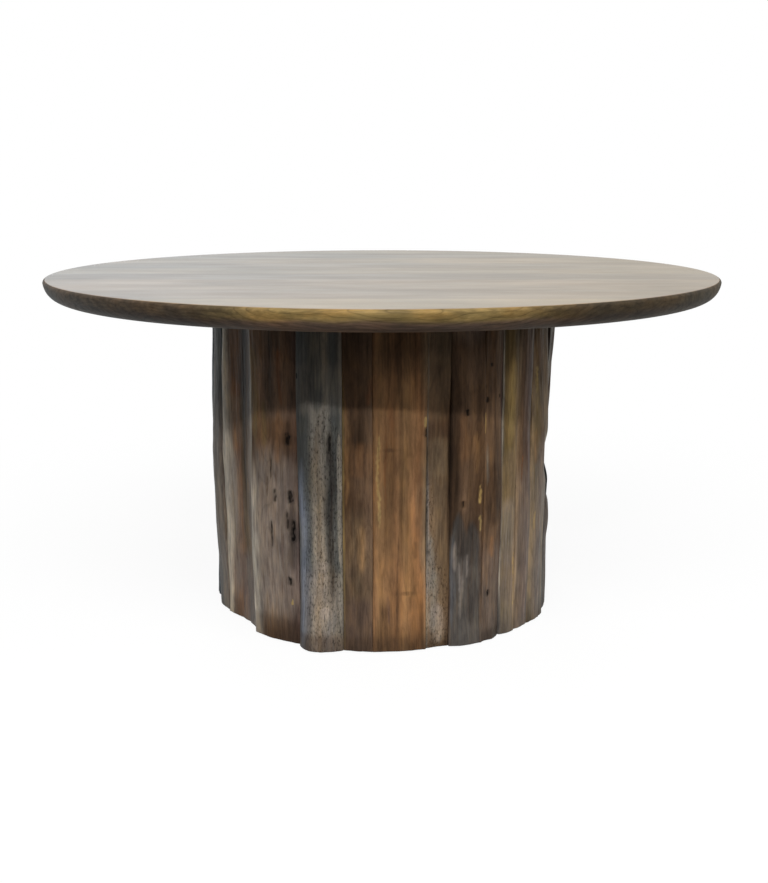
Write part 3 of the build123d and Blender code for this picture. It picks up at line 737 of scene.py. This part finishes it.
def profile(row, across):
    """How far the face stands out across its width, in millimetres, smooth through its crown."""
    left = row.left + (row.crown - row.left) * np.sin(np.clip(across / row.crown_at, 0, 1) * pi / 2)
    beyond = np.clip((1 - across) / (1 - row.crown_at), 0, 1)
    right = row.right + (row.crown - row.right) * np.sin(beyond * pi / 2)
    return np.where(across < row.crown_at, left, right)


def carve(data, number, row, start, end):
    """Send every point of the grid to its place on the drum, and paint the stains, painted highlights and
    painted shade.
    """
    count = len(data.vertices)
    flat = np.empty(count * 3)
    data.vertices.foreach_get("co", flat)
    flat = flat.reshape(-1, 3)
    across, along, back = flat[:, 0].copy(), flat[:, 1].copy(), flat[:, 2] < -0.5
    width = radians(row.width) * MEAN_RADIUS
    height = 1000 * (LOW + along * (HIGH - LOW))
    sway = row.sway * np.cos(2 * pi * (height - row.proud_at) / row.wave)
    run = across * width

    seed = number * SEEDS_APART
    warp = 2.2 * ripple(seed + 1, run, height, 60, 170) + 0.7 * ripple(seed + 9, run, height, 9, 22)
    stands = profile(row, across) + sway
    stands += 0.6 * ripple(seed + 2, run, height, 40, 190)
    stands += 0.2 * ripple(seed + 3, run, height, 12, 70)

    stops = BANDS.get(number, REST[row.tone])
    places = np.array([place for place, _ in stops])
    drift = across + 0.05 * ripple(seed + 4, run, height, 90, 420)
    colour = np.stack(
        [np.interp(drift, places, [SHADES[shade][c] for _, shade in stops]) for c in range(3)], axis=1
    )
    streaks = ripple(seed + 5, run, height, 13, 600, 14)
    clouds = ripple(seed + 6, run, height, 45, 240)
    colour *= (1 + 0.16 * streaks + 0.12 * clouds)[:, None]
    # Painted shade near the floor: the lowest 80 mm of each stave darken, to half at the floor.
    colour *= (1 - 0.5 * soft_step(80, 0, height))[:, None]

    fleck = np.full(count, UNFLECKED.get(number, 1.0))
    ragged = 1 + 0.45 * ripple(seed + 10, run, height, 9, 14)
    streaky = 1 + 0.25 * ripple(seed + 11, run, height, 5, 90, 14)
    for mark in MARKS.get(number, []):
        middle, half = (mark.low + mark.high) / 2, (mark.high - mark.low) / 2
        along_mark = np.abs(height - middle) / half
        taper = np.sqrt(np.clip(1.1 - along_mark**2, 0.01, 1))
        wander = warp if 0.06 < mark.across < 0.94 else 0
        offset = (run + wander - mark.across * width) / (mark.half_width * taper)
        amount = np.exp(-(offset**2)) * (1 - soft_step(0.7, 1.1, along_mark))
        if mark.colour == "black":
            halo = np.exp(-((offset / 2.4) ** 2)) * (1 - soft_step(0.8, 1.4, along_mark))
            colour *= (1 - 0.4 * halo)[:, None]
            amount = soft_step(0.3, 0.8, amount * ragged)
        elif mark.cover > 0.75:
            amount = soft_step(0.15, 0.6, amount)
        elif mark.half_width < 7 and mark.colour == "straw":
            amount = soft_step(0.2, 1.0, amount * ragged)
        elif not mark.colour:
            across_mark = (run - mark.across * width) / mark.half_width
            amount = np.exp(-(across_mark**2)) * (1 - soft_step(0.15, 1.0, along_mark))
        stands -= mark.depth * amount
        if mark.colour == "fleck":
            fleck = np.maximum(fleck, mark.cover * amount)
        elif mark.colour:
            cover = np.clip(mark.cover * amount * streaky, 0, 1)
            colour += (np.array(SHADES[mark.colour][:3]) - colour) * cover[:, None]

    uneven = 1 + 0.2 * ripple(seed + 8, run * 0, height, 50, 130)
    for distance, radius in zip((run, width - run), EASES.get(number, (5.0, 5.0))):
        inside = np.clip(1 - distance / (radius * uneven), 0, 1)
        stands -= 0.7 * radius * (1 - np.sqrt(1 - inside**2 * 0.98))

    azimuth = np.radians(start + across * (end - start))
    radius = (MEAN_RADIUS + stands) / 1000
    half = radians(end - start) / 2
    chord = BACK * cos(half) / np.cos(azimuth - radians((start + end) / 2))
    radius = np.where(back, chord, radius)
    placed = np.stack([radius * np.sin(azimuth), -radius * np.cos(azimuth), height / 1000], axis=1)
    data.vertices.foreach_set("co", placed.ravel())
    colour = np.clip(colour, 0.002, 0.9)
    # The stain attribute also holds the painted highlights and painted shade of the marks.
    paint(data, "stain", np.concatenate([colour, np.ones((count, 1))], axis=1))
    level(data, "board", np.full(count, number * GRAIN_APART))
    level(data, "fleck", fleck)


faces = 0
for number, (row, start, end) in enumerate(zip(STAVES, seams, seams[1:]), start=1):
    seen = number <= 12 or number == 25
    shape = stave_shape(row, FINE_PITCH if seen else COARSE_PITCH)
    for face in shape.faces:
        face.smooth = len(face.verts) == 4 and abs(face.normal.z) > 0.5
    name = f"board_{number:02d}"
    piece = mesh_object(name, shape, WOODS[row.tone], f"stave_{number:02d}")
    carve(piece.data, number, row, start, end)
    piece.data.update()
    faces += len(piece.data.polygons)
print("staves:", faces, "faces")

# %% [markdown]
# The wood of the top is cut from solid logs: growth rings are cylinders round a pith that
# lies somewhere near each plank, so long stripes show on the face, arches where the pith
# wanders, and curved rings at the rim. A flat image of boards can't turn the rim like that.
# The face has a satin lacquer over it, a thin coat with its own sheen. The rim is drier, so its
# figure shows darker and stronger.

# %% Top wood


def growth_rings(tree, place, rings_per_metre):
    """Rings round the plank's pith, which wanders a little: pale with a dark edge."""
    pith = node(tree, "Attribute", attribute_name="pith").outputs["Vector"]
    from_pith = node(tree, "VectorMath", {0: place, 1: pith}, operation="SUBTRACT").outputs[0]
    drawn_out = node(tree, "Mapping", {"Vector": from_pith, "Scale": (0.55, 1, 1)}).outputs[0]
    wander = node(tree, "TexNoise", {"Vector": drawn_out, "Scale": 6.0, "Detail": 3.0}).outputs["Color"]
    wander = node(tree, "VectorMath", {0: wander, 1: (0.5, 0.5, 0.5)}, operation="SUBTRACT").outputs[0]
    wander = node(tree, "VectorMath", {0: wander, 1: (0, 0.11, 0.11)}, operation="MULTIPLY").outputs[0]
    bent = node(tree, "VectorMath", {0: from_pith, 1: wander}, operation="ADD").outputs[0]
    flat = node(tree, "VectorMath", {0: bent, 1: (0, 1, 1)}, operation="MULTIPLY").outputs[0]
    away = node(tree, "VectorMath", {0: flat}, operation="LENGTH").outputs["Value"]
    rings = calculate(tree, "FRACT", calculate(tree, "MULTIPLY", away, rings_per_metre))
    return ramp(tree, rings, [(0.0, 0.9), (0.5, 1.06), (0.84, 0.97), (0.95, 0.56), (1.0, 0.85)])


top_wood, tree, shader = new_material(
    "top_wood",
    Specular_IOR_Level=0.5,
    Coat_Weight=0.4,
    Coat_Roughness=0.22,
)
stain = node(tree, "Attribute", attribute_name="stain").outputs["Color"]
place = node(tree, "TexCoord").outputs["Object"]
fibres = stretched_noise(tree, place, (0.02, 1, 1), 500, 4.0, 0.6)
bands = stretched_noise(tree, place, (0.26, 1, 1), 14, 5.0, 0.6)
clouds = stretched_noise(tree, place, (0.6, 1, 1), 5, 4.0, 0.55)
colour = blend(tree, 0.22, stain, growth_rings(tree, place, 105.0), "MULTIPLY")
colour = shaded(tree, colour, fibres, [(0.3, 0.9), (0.7, 1.06)])
colour = shaded(tree, colour, bands, [(0.3, 0.84), (0.5, 1.0), (0.7, 1.12)])
colour = shaded(tree, colour, clouds, [(0.35, 0.76), (0.65, 1.2)])
tree.links.new(colour, shader.inputs["Base Color"])
sheen = ramp(tree, bands, [(0.3, 0.36), (0.7, 0.28)])
tree.links.new(sheen, shader.inputs["Roughness"])
bump(tree, shader, fibres, 0.0004, 0.5)

rim_wood, tree, shader = new_material("rim_wood", Specular_IOR_Level=0.12)
stain = node(tree, "Attribute", attribute_name="stain").outputs["Color"]
place = node(tree, "TexCoord").outputs["Object"]
fibres = stretched_noise(tree, place, (0.03, 1, 1), 420, 4.0, 0.6)
bands = stretched_noise(tree, place, (0.09, 1, 1), 90, 6.0, 0.7)
clouds = stretched_noise(tree, place, (0.6, 1, 1.2), 16, 5.0, 0.6)
colour = shaded(tree, stain, fibres, [(0.3, 0.84), (0.7, 1.12)])
colour = blend(tree, 1.0, colour, growth_rings(tree, place, 120.0), "MULTIPLY")
colour = shaded(tree, colour, bands, [(0.36, 0.66), (0.5, 1.0), (0.62, 1.26)])
cool, warm = (0.74, 0.78, 0.84, 1), (1.22, 1.13, 1.02, 1)
colour = shaded(tree, colour, clouds, [(0.38, cool), (0.5, 1.0), (0.62, warm)])
tree.links.new(colour, shader.inputs["Base Color"])
tree.links.new(ramp(tree, bands, [(0.3, 0.62), (0.7, 0.5)]), shader.inputs["Roughness"])
bump(tree, shader, fibres, 0.0006, 0.5)
print("top wood ready")

# %% [markdown]
# The top is one turned disc sawn into planks, as the real one is glued up and then cut
# round. Its outline is spun a full turn, and a copy is sliced by two planes for each plank.
# Modelling each plank by itself would make the rim step at the glue lines. Two shallow beds
# are cut in the underside, where the steel channels lie flush: the underside is cut by planes
# at their edges, and the faces between are extruded upwards. A boolean would do it in one
# step, but it leaves long slivers on a disc this flat.

# %% Make the top
GLUE_LINES = [-0.575, -0.402, -0.183, -0.035, 0.115, 0.270, 0.440, 0.600]
TOP, UNDERSIDE, EDGE = 0.762, 0.718, 0.7499
RIM_FOOT = EDGE - 0.034
RIM_BULGE = 0.0085
ROUND_DROP, ROUND_IN, ROUND_STEPS = 0.007, 0.008, 8
TOP_LOOPS, UNDERSIDE_LOOPS = (0.0, 0.45, 0.66, 0.72), (0.712, 0.6, 0.0)
SPIN_STEPS = 288
MERGE, CUT = 1e-5, 1e-6
CHANNEL_IN, CHANNEL_OUT, CHANNEL_END, CHANNEL_BED = 0.4209, 0.4593, 0.5067, 0.0032


def rim_arc(steps=14):
    """The curve of the rim, from just under the arris to the underside."""
    first, last = (EDGE, TOP - ROUND_DROP), (RIM_FOOT, UNDERSIDE)
    chord = hypot(first[0] - last[0], first[1] - last[1])
    out = ((first[1] - last[1]) / chord, -(first[0] - last[0]) / chord)
    for step in range(steps + 1):
        t = step / steps
        bulge = RIM_BULGE * 4 * t * (1 - t)
        yield (
            first[0] + (last[0] - first[0]) * t + out[0] * bulge,
            first[1] + (last[1] - first[1]) * t + out[1] * bulge,
        )


outline = [(radius, TOP) for radius in TOP_LOOPS]
for step in range(ROUND_STEPS):
    turn = step / ROUND_STEPS * pi / 2
    outline.append((EDGE - ROUND_IN * (1 - sin(turn)), TOP - ROUND_DROP * (1 - cos(turn))))
outline += list(rim_arc())
outline += [(radius, UNDERSIDE) for radius in UNDERSIDE_LOOPS]
disc = bmesh.new()
dots = [disc.verts.new((radius, 0, height)) for radius, height in outline]
lines = [disc.edges.new(pair) for pair in zip(dots, dots[1:])]
bmesh.ops.spin(
    disc,
    geom=dots + lines,
    cent=(0, 0, 0),
    axis=(0, 0, 1),
    dvec=(0, 0, 0),
    angle=2 * pi,
    steps=SPIN_STEPS,
    use_merge=True,
)
bmesh.ops.remove_doubles(disc, verts=disc.verts, dist=MERGE)
bmesh.ops.recalc_face_normals(disc, faces=disc.faces)


def below(face):
    """Whether a face lies on the underside."""
    return face.normal.z < -0.999 and abs(face.calc_center_median().z - UNDERSIDE) < MERGE


cuts = [(spot, (1, 0, 0)) for spot in (-CHANNEL_OUT, -CHANNEL_IN, CHANNEL_IN, CHANNEL_OUT)]
cuts += [(spot, (0, 1, 0)) for spot in (-CHANNEL_END, CHANNEL_END)]
for spot, axis in cuts:
    faces_below = [face for face in disc.faces if below(face)]
    touched = {part for face in faces_below for part in (*face.verts, *face.edges)}
    bmesh.ops.bisect_plane(
        disc, geom=faces_below + list(touched), dist=CUT, plane_co=Vector(axis) * spot, plane_no=axis
    )
beds = []
for face in disc.faces:
    middle = face.calc_center_median()
    if below(face) and CHANNEL_IN < abs(middle.x) < CHANNEL_OUT and abs(middle.y) < CHANNEL_END:
        beds.append(face)
sunk = bmesh.ops.extrude_face_region(disc, geom=beds)["geom"]
sunk = [part for part in sunk if isinstance(part, bmesh.types.BMVert)]
bmesh.ops.translate(disc, verts=sunk, vec=(0, 0, CHANNEL_BED))
bmesh.ops.delete(disc, geom=[face for face in beds if face.is_valid], context="FACES")
bmesh.ops.recalc_face_normals(disc, faces=disc.faces)
open_edges = sum(edge.is_boundary for edge in disc.edges)
print("disc:", len(disc.faces), "faces,", len(beds), "in the channels' beds, open edges:", open_edges)

# %% [markdown]
# The planks differ in tone, and the rim shows pale sapwood above a darker heart at the front
# and back, and dark end grain at both ends. These broad tones are painted per vertex, and
# the pith's place is stored with each plank. The face's tone gives way to the rim's within the
# last five millimetres of the radius, and what lies a hair under the face counts as rim.

# %% Slice the disc into planks
PLANK_TONES = [
    srgb(136, 114, 84),
    srgb(116, 94, 72),
    srgb(130, 106, 82),
    srgb(108, 88, 70),
    srgb(126, 104, 78),
    srgb(114, 92, 70),
    srgb(128, 104, 76),
    srgb(110, 90, 72),
    srgb(122, 100, 74),
]
SAPWOOD, HEARTWOOD = np.array(srgb(126, 105, 64)[:3]), np.array(srgb(112, 90, 74)[:3])
END_LEFT, END_RIGHT = np.array(srgb(66, 56, 49)[:3]), np.array(srgb(42, 35, 27)[:3])
PITHS = [
    (0.04, -0.12), (-0.05, -0.2), (0.02, 0.16), (0.06, -0.1), (-0.02, -0.15),
    (0.03, 0.2), (-0.06, -0.12), (0.05, -0.18), (0.0, 0.14),
]
PITHS_APART = 2.3
FACE_ENDS, RIM_STARTS, RIM_INSIDE = 0.7455, 0.7485, 0.715
FACE_SKIN, RIM_SKIN = 0.0006, 0.0008
SAP_LOW, SAP_HIGH, SAP_WAVE = 0.734, 0.745, 0.002
RIM_MILLIMETRES = 750


def slice_plank(near, far):
    """The strip of the disc between two glue lines, closed where it is cut."""
    strip = disc.copy()
    for line, keep_far in ((near, True), (far, False)):
        if abs(line) > EDGE:
            continue
        cut = bmesh.ops.bisect_plane(
            strip,
            geom=strip.verts[:] + strip.edges[:] + strip.faces[:],
            dist=CUT,
            plane_co=(0, line, 0),
            plane_no=(0, 1, 0),
            clear_inner=keep_far,
            clear_outer=not keep_far,
        )["geom_cut"]
        loop = [part for part in cut if isinstance(part, bmesh.types.BMEdge)]
        bmesh.ops.contextual_create(strip, geom=loop)
        for edge in loop:
            edge.smooth = False
    return strip


def stain_plank(data, tone, line_middle, seed, pith_offset):
    """Paint a plank: its own tone on top and below, and the rim's bands."""
    count = len(data.vertices)
    spots = np.empty(count * 3)
    data.vertices.foreach_get("co", spots)
    spots = spots.reshape(-1, 3)
    out = np.hypot(spots[:, 0], spots[:, 1])
    azimuth = np.arctan2(spots[:, 0], -spots[:, 1])
    rim = soft_step(FACE_ENDS, RIM_STARTS, out) + (spots[:, 2] < TOP - FACE_SKIN) * (out > RIM_INSIDE)
    rim = np.clip(rim, 0, 1)[:, None]
    wave = SAP_WAVE * ripple(seed, azimuth * RIM_MILLIMETRES, azimuth, 180, 1)
    sap = soft_step(SAP_LOW, SAP_HIGH, spots[:, 2] + wave)[:, None]
    band = HEARTWOOD + (SAPWOOD - HEARTWOOD) * sap
    end = soft_step(0.22, 0.5, np.abs(np.sin(azimuth)))[:, None]
    turned = (np.sin(azimuth)[:, None] + 1) / 2
    end_grain = END_LEFT + (END_RIGHT - END_LEFT) * turned
    band = band + (end_grain - band) * end * 0.9
    colour = tone + (band - tone) * rim
    paint(data, "stain", np.concatenate([colour, np.ones((count, 1))], axis=1))
    layer = data.attributes.new("pith", "FLOAT_VECTOR", "POINT")
    pith = np.tile([seed * PITHS_APART, line_middle + pith_offset[0], TOP + pith_offset[1]], (count, 1))
    layer.data.foreach_set("vector", pith.astype(np.float32).ravel())


edges = [-1.0] + GLUE_LINES + [1.0]
for number, (near, far) in enumerate(zip(edges, edges[1:]), start=1):
    strip = slice_plank(near, far)
    for face in strip.faces:
        face.smooth = abs(face.normal.y) < 0.9999 or len(face.verts) == 4
        face.material_index = int(face.calc_center_median().z < TOP - RIM_SKIN)
    piece = mesh_object(f"plank_{number}", strip, top_wood, f"top_plank_{number}")
    piece.data.materials.append(rim_wood)
    middle = (max(near, -EDGE) + min(far, EDGE)) / 2
    tone = np.array(PLANK_TONES[number - 1][:3])
    stain_plank(piece.data, tone, middle, number, PITHS[number - 1])
disc.free()
print("planks:", len(edges) - 1)

# %% [markdown]
# What is left is the frame inside the drum and its fixings. Their CAD shapes are right, so
# only their finishes are made here: birch plywood, softwood posts, black and zinc-plated
# steel, brass inserts and moulded nylon glides.

# %% Finishes of the frame and fixings


def plywood():
    """Plies in layers up the edge, with a plain grain on the flat faces."""
    material, tree, shader = new_material("plywood", Roughness=0.6, Specular_IOR_Level=0.3)
    place = node(tree, "TexCoord").outputs["Object"]
    height = node(tree, "SeparateXYZ", {0: place}).outputs[2]
    ply = calculate(tree, "FRACT", calculate(tree, "MULTIPLY", height, 330.0))
    uneven = calculate(tree, "MULTIPLY", stretched_noise(tree, place, (1, 1, 1), 40), 0.1)
    ply = calculate(tree, "ADD", ply, uneven)
    light = [(0.0, srgb(196, 164, 120)), (0.5, srgb(184, 150, 106))]
    dark = [(0.54, srgb(138, 102, 66)), (1.0, srgb(160, 124, 84))]
    plies = ramp(tree, ply, light + dark)
    grain = stretched_noise(tree, place, (0.04, 1, 1), 200, 4.0)
    colour = shaded(tree, plies, grain, [(0.3, 0.82), (0.7, 1.08)])
    tree.links.new(colour, shader.inputs["Base Color"])
    bump(tree, shader, grain, 0.0004, 0.5)
    return material


def softwood():
    """Planed posts with straight rings."""
    material, tree, shader = new_material("frame_timber", Roughness=0.58, Specular_IOR_Level=0.3)
    place = node(tree, "TexCoord").outputs["Object"]
    rings = stretched_noise(tree, place, (1, 1, 0.02), 120, 3.0)
    fibres = stretched_noise(tree, place, (1, 1, 0.03), 700, 3.0)
    pale, middle, dark = srgb(206, 170, 120), srgb(190, 148, 98), srgb(158, 112, 68)
    colour = ramp(tree, rings, [(0.35, pale), (0.5, middle), (0.62, dark)])
    colour = shaded(tree, colour, fibres, [(0.3, 0.88), (0.7, 1.05)])
    tree.links.new(colour, shader.inputs["Base Color"])
    bump(tree, shader, fibres, 0.0003, 0.5)
    return material


def metal(name, colour, roughness, wear):
    """Plated or bare metal with faint clouds and scratches in its polish."""
    material, tree, shader = new_material(name, Metallic=1.0)
    place = node(tree, "TexCoord").outputs["Object"]
    clouds = stretched_noise(tree, place, (1, 1, 1), 90, 4.0)
    scratches = stretched_noise(tree, place, (1, 0.1, 1), 900, 3.0)
    tint = blend(tree, clouds, colour, tuple(c * wear for c in colour[:3]) + (1.0,))
    tree.links.new(tint, shader.inputs["Base Color"])
    polish = ramp(tree, scratches, [(0.3, roughness - 0.08), (0.7, roughness + 0.14)])
    tree.links.new(polish, shader.inputs["Roughness"])
    bump(tree, shader, scratches, 0.0001, 0.4)
    return material


def coated(name, colour, grain, roughness):
    """Powder coat or moulded plastic: one dark colour with a fine skin."""
    material, tree, shader = new_material(name)
    place = node(tree, "TexCoord").outputs["Object"]
    skin = stretched_noise(tree, place, (1, 1, 1), grain, 2.0)
    dust = stretched_noise(tree, place, (1, 1, 1), 30, 4.0)
    tint = blend(tree, dust, colour, tuple(min(1.0, c * 1.5 + 0.01) for c in colour[:3]) + (1.0,))
    tree.links.new(tint, shader.inputs["Base Color"])
    polish = ramp(tree, skin, [(0.3, roughness - 0.06), (0.7, roughness + 0.1)])
    tree.links.new(polish, shader.inputs["Roughness"])
    bump(tree, shader, skin, 0.0002, 0.5)
    return material


FINISHES = {
    "plywood": plywood(),
    "frame_timber": softwood(),
    "black_steel": coated("black_steel", srgb(30, 30, 31), 1500, 0.5),
    "zinc_steel": metal("zinc_steel", srgb(190, 193, 196), 0.32, 0.8),
    "brass": metal("brass", srgb(212, 172, 96), 0.3, 0.75),
    "nylon": coated("nylon", srgb(38, 38, 40), 2200, 0.48),
}
CARRIED = {
    "plywood": ["top_ring", "middle_ring", "bottom_ring", "top_tongues"],
    "frame_timber": [f"frame_post_{n}" for n in range(1, 5)],
    "black_steel": ["stiffening_channel_left", "stiffening_channel_right"],
    "zinc_steel": ["channel_screws", "post_screws", "stave_screws", "top_bolts", "leveller_nuts"],
    "brass": ["top_inserts"],
    "nylon": [],
}
for corner in ("front_right", "back_right", "back_left", "front_left"):
    CARRIED["zinc_steel"].append("stem_" + corner)
    CARRIED["nylon"].append("glide_" + corner)
for finish, names in CARRIED.items():
    for name in names:
        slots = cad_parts[name].data.materials
        slots.clear()
        slots.append(FINISHES[finish])
print("finished CAD nodes:", sum(len(names) for names in CARRIED.values()))
